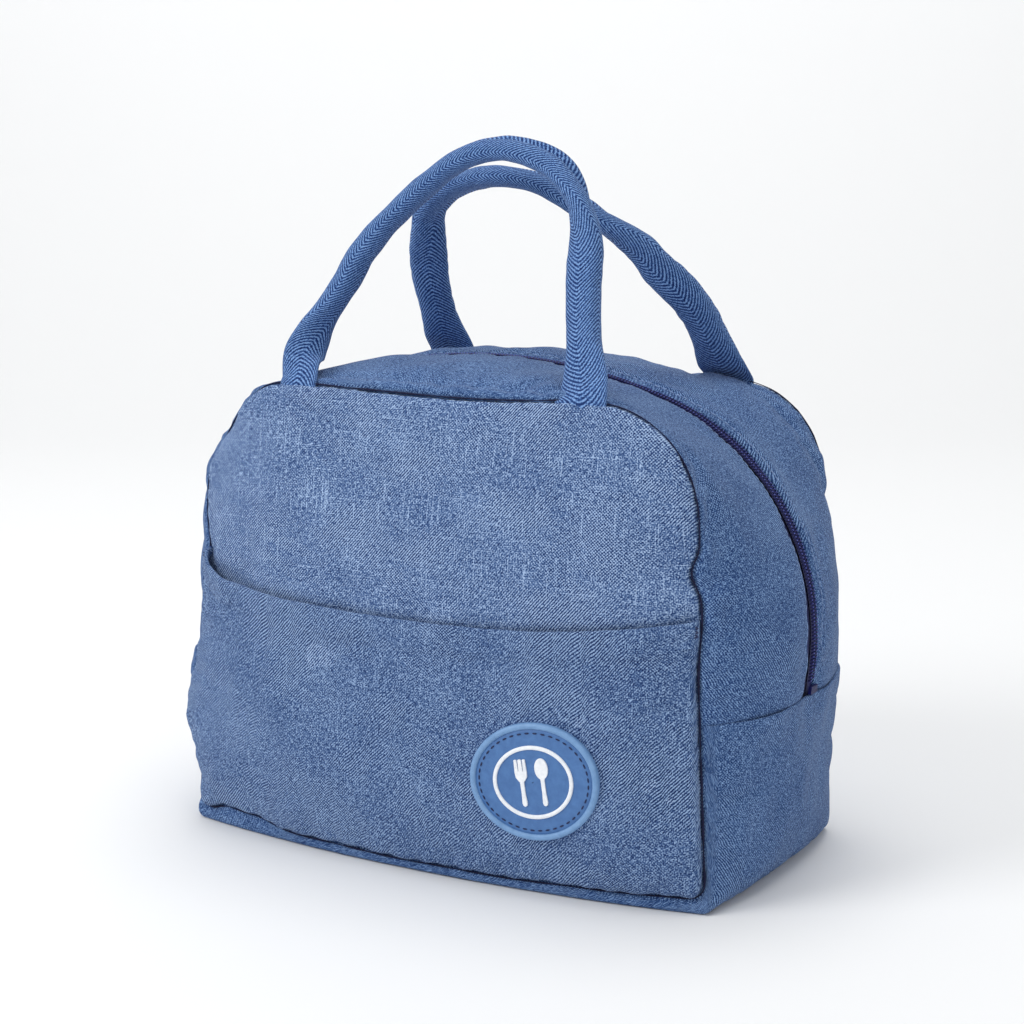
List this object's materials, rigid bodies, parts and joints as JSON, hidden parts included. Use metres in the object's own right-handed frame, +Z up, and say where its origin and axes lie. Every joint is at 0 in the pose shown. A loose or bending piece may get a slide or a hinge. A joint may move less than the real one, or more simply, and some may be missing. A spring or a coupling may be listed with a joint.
{
  "type": "insulated lunch bag",
  "caption": "Soft insulated lunch bag: padded fabric body, zip-around top, front slip pocket with a round badge, two rolled webbing handles",
  "frame": {"origin": "centre of the bag's footprint on the surface it stands on, handles up, zipper closed", "axes": "+X to the viewer's right across the front, +Y from the pocket side to the back, +Z up"},
  "size_m": [0.2664, 0.1354, 0.2846],
  "materials": {
    "front_fabric": "two-tone heathered blue woven polyester",
    "gusset_fabric": "two-tone heathered blue woven polyester",
    "foam": "closed-cell insulating foam sheet",
    "foil_lining": "silver foil-faced film",
    "webbing": "herringbone webbing",
    "zipper_nylon": "navy nylon coil and woven tape",
    "zipper_metal": "navy lacquer",
    "badge_rubber": "satin moulded soft rubber",
    "badge_white": "satin moulded soft rubber",
    "thread": "polyester sewing thread",
    "binding": "woven binding tape"
  },
  "bodies": {
    "shell": {"front_panel": "front_fabric", "back_panel": "front_fabric", "lower_gusset": "gusset_fabric", "zip_strip_front_ends": "gusset_fabric", "zip_strip_back": "gusset_fabric", "foam_front": "foam", "foam_back": "foam", "foam_floor": "foam", "foam_strip_front_ends": "foam", "foam_strip_back": "foam", "lining_front": "foil_lining", "lining_back": "foil_lining", "lining_floor": "foil_lining", "lining_strip_front_ends": "foil_lining", "lining_strip_back": "foil_lining", "front_pocket": "front_fabric", "pocket_hem": "gusset_fabric", "pocket_bartacks": "thread", "zipper_tape_front_ends": "zipper_nylon", "zipper_tape_back": "zipper_nylon", "zipper_coil_front_ends": "zipper_nylon", "zipper_coil_back": "zipper_nylon", "zipper_stops": "zipper_metal", "handle_tabs_back": "webbing", "badge_base": "badge_rubber", "badge_ring": "badge_white", "badge_fork": "badge_white", "badge_spoon": "badge_white", "badge_stitching": "thread", "seam_binding_front": "binding", "seam_binding_back": "binding"},
    "front_flap": {"front_panel_top": "front_fabric", "zip_strip_front": "gusset_fabric", "foam_front_top": "foam", "foam_strip_front": "foam", "lining_front_top": "foil_lining", "lining_strip_front": "foil_lining", "zipper_tape_front": "zipper_nylon", "zipper_coil_front": "zipper_nylon", "handle_tabs_front": "webbing", "seam_binding_front_top": "binding"},
    "front_handle": {"handle_front": "webbing"},
    "back_handle": {"handle_back": "webbing"},
    "slider": {"slider_body": "zipper_metal", "slider_bail": "zipper_metal"},
    "pull": {"pull_tab": "zipper_metal"}
  },
  "joints": [
    {"name": "front_fold", "type": "hinge", "parent": "shell", "child": "front_flap", "pos_m": [0, -0.0685, 0.118], "axis": [1, 0, 0], "range_deg": [0, 50]},
    {"name": "front_handle_swing", "type": "hinge", "parent": "front_flap", "child": "front_handle", "pos_m": [0, -0.066, 0.189], "axis": [1, 0, 0], "range_deg": [0, 160]},
    {"name": "back_handle_swing", "type": "hinge", "parent": "shell", "child": "back_handle", "pos_m": [0, 0.066, 0.189], "axis": [-1, 0, 0], "range_deg": [0, 160]},
    {"name": "slider_travel", "type": "hinge", "parent": "shell", "child": "slider", "pos_m": [-0.0375, 0, 0.09824], "axis": [0, 1, 0], "range_deg": [0, 72]},
    {"name": "pull_swing", "type": "hinge", "parent": "slider", "child": "pull", "pos_m": [-0.13323, 0, 0.08981], "axis": [0, 1, 0], "range_deg": [-5, 165]}
  ]
}
